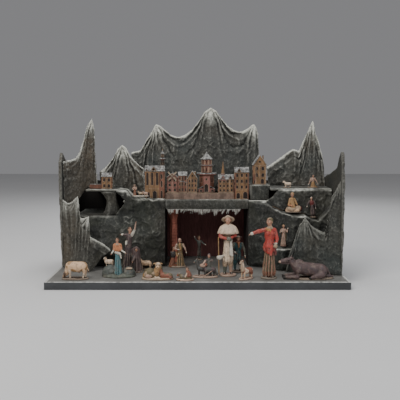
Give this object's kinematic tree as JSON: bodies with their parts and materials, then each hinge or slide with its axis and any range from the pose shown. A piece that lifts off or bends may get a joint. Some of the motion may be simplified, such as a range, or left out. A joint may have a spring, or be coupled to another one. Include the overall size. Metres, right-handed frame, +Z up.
{
  "type": "nativity rock sculpture",
  "caption": "Tabletop nativity mountain of hardened rock paper over a wooden frame, with a painted town, an open stable and terracotta figures.",
  "frame": {"origin": "centre of the base board's underside", "axes": "+X to the viewer's right, +Y from the front edge to the back, +Z up; the scene faces -Y"},
  "size_m": [0.9, 0.48, 0.551],
  "materials": {
    "board_paint": "matt blue-grey paint, worn edges",
    "bare_wood": "rough sawn, aged",
    "rock_paper": "glue-hardened rock paper, dark grey-green paint, white on the ridges",
    "rock_paper_brown": "glue-hardened rock paper, grey-brown paint",
    "stable_paint": "matt dark red-brown paint",
    "brick_paint": "matt brick-red paint",
    "straw": "whitened straw, matt",
    "house_paint": "painted card and wood, matt",
    "house_ochre": "painted card and wood, matt",
    "tower_paint": "painted turned wood, matt",
    "sail_wood": "thin painted slips",
    "clay_cream": "painted terracotta, matt",
    "clay_brown": "painted terracotta, matt",
    "clay_dark": "painted terracotta, matt",
    "clay_red": "painted terracotta, matt",
    "clay_green": "painted terracotta, matt"
  },
  "bodies": {
    "rock": {"base_board": "board_paint", "back_panel": "bare_wood", "village_shelf": "bare_wood", "left_shelf": "bare_wood", "right_shelf": "bare_wood", "niche_floor": "bare_wood", "left_side_wall": "rock_paper_brown", "right_side_wall": "rock_paper", "rock_left_peak": "rock_paper_brown", "rock_left_crag": "rock_paper", "rock_centre_range": "rock_paper", "rock_right_range": "rock_paper", "rock_left_front": "rock_paper_brown", "rock_niche_face": "rock_paper", "rock_pillar": "rock_paper", "rock_grotto_left": "rock_paper", "rock_right_slope": "rock_paper", "rock_right_front": "rock_paper", "rock_lintel": "rock_paper_brown", "rock_hill": "rock_paper", "thatch_fringe": "straw", "stable_wall_left": "stable_paint", "stable_wall_right": "stable_paint", "stable_back": "stable_paint", "stable_column": "brick_paint", "stake_left": "bare_wood", "stake_centre": "bare_wood", "stake_right": "bare_wood", "village_plinth": "house_paint", "arcade_house": "house_paint", "pink_house": "house_paint", "windmill_house": "house_ochre", "gable_house": "house_paint", "round_tower": "tower_paint", "minaret": "clay_dark", "spire_house": "house_ochre", "gate_tower": "house_paint", "hill_house": "house_ochre", "left_tower": "house_paint", "cloaked_group": "clay_dark", "standing_goat": "clay_brown", "sleeping_group": "clay_brown", "donkey_group": "clay_dark", "boy": "clay_green", "standing_fawn": "clay_brown", "column_pair": "clay_brown", "dancing_child": "clay_dark", "shelf_goat": "clay_cream", "seated_figure": "clay_brown", "reclining_figure": "clay_brown", "climber": "clay_red", "step_child": "clay_brown", "flock_group": "clay_brown"},
    "sails": {"windmill_sails": "sail_wood"},
    "loose_cow": {"cow": "clay_cream"},
    "loose_shepherdess_on_mound": {"shepherdess_on_mound": "clay_green"},
    "loose_resting_group": {"resting_group": "clay_brown"},
    "loose_caped_man": {"caped_man": "clay_cream"},
    "loose_red_jacket_woman": {"red_jacket_woman": "clay_red"},
    "loose_lying_ox": {"lying_ox": "clay_dark"}
  },
  "joints": [
    {"name": "sail_turn", "type": "hinge", "parent": "rock", "child": "sails", "pos_m": [-0.08512, 0.0345, 0.3176], "axis": [0, -1, 0], "continuous": true},
    {"name": "cow_lift", "type": "slide", "parent": "rock", "child": "loose_cow", "axis": [0, 0, 1], "range_m": [0, 0.06]},
    {"name": "shepherdess_on_mound_lift", "type": "slide", "parent": "rock", "child": "loose_shepherdess_on_mound", "axis": [0, 0, 1], "range_m": [0, 0.08]},
    {"name": "resting_group_lift", "type": "slide", "parent": "rock", "child": "loose_resting_group", "axis": [0, 0, 1], "range_m": [0, 0.06]},
    {"name": "caped_man_lift", "type": "slide", "parent": "rock", "child": "loose_caped_man", "axis": [0, 0, 1], "range_m": [0, 0.1]},
    {"name": "red_jacket_woman_lift", "type": "slide", "parent": "rock", "child": "loose_red_jacket_woman", "axis": [0, 0, 1], "range_m": [0, 0.1]},
    {"name": "lying_ox_lift", "type": "slide", "parent": "rock", "child": "loose_lying_ox", "axis": [0, 0, 1], "range_m": [0, 0.06]}
  ]
}
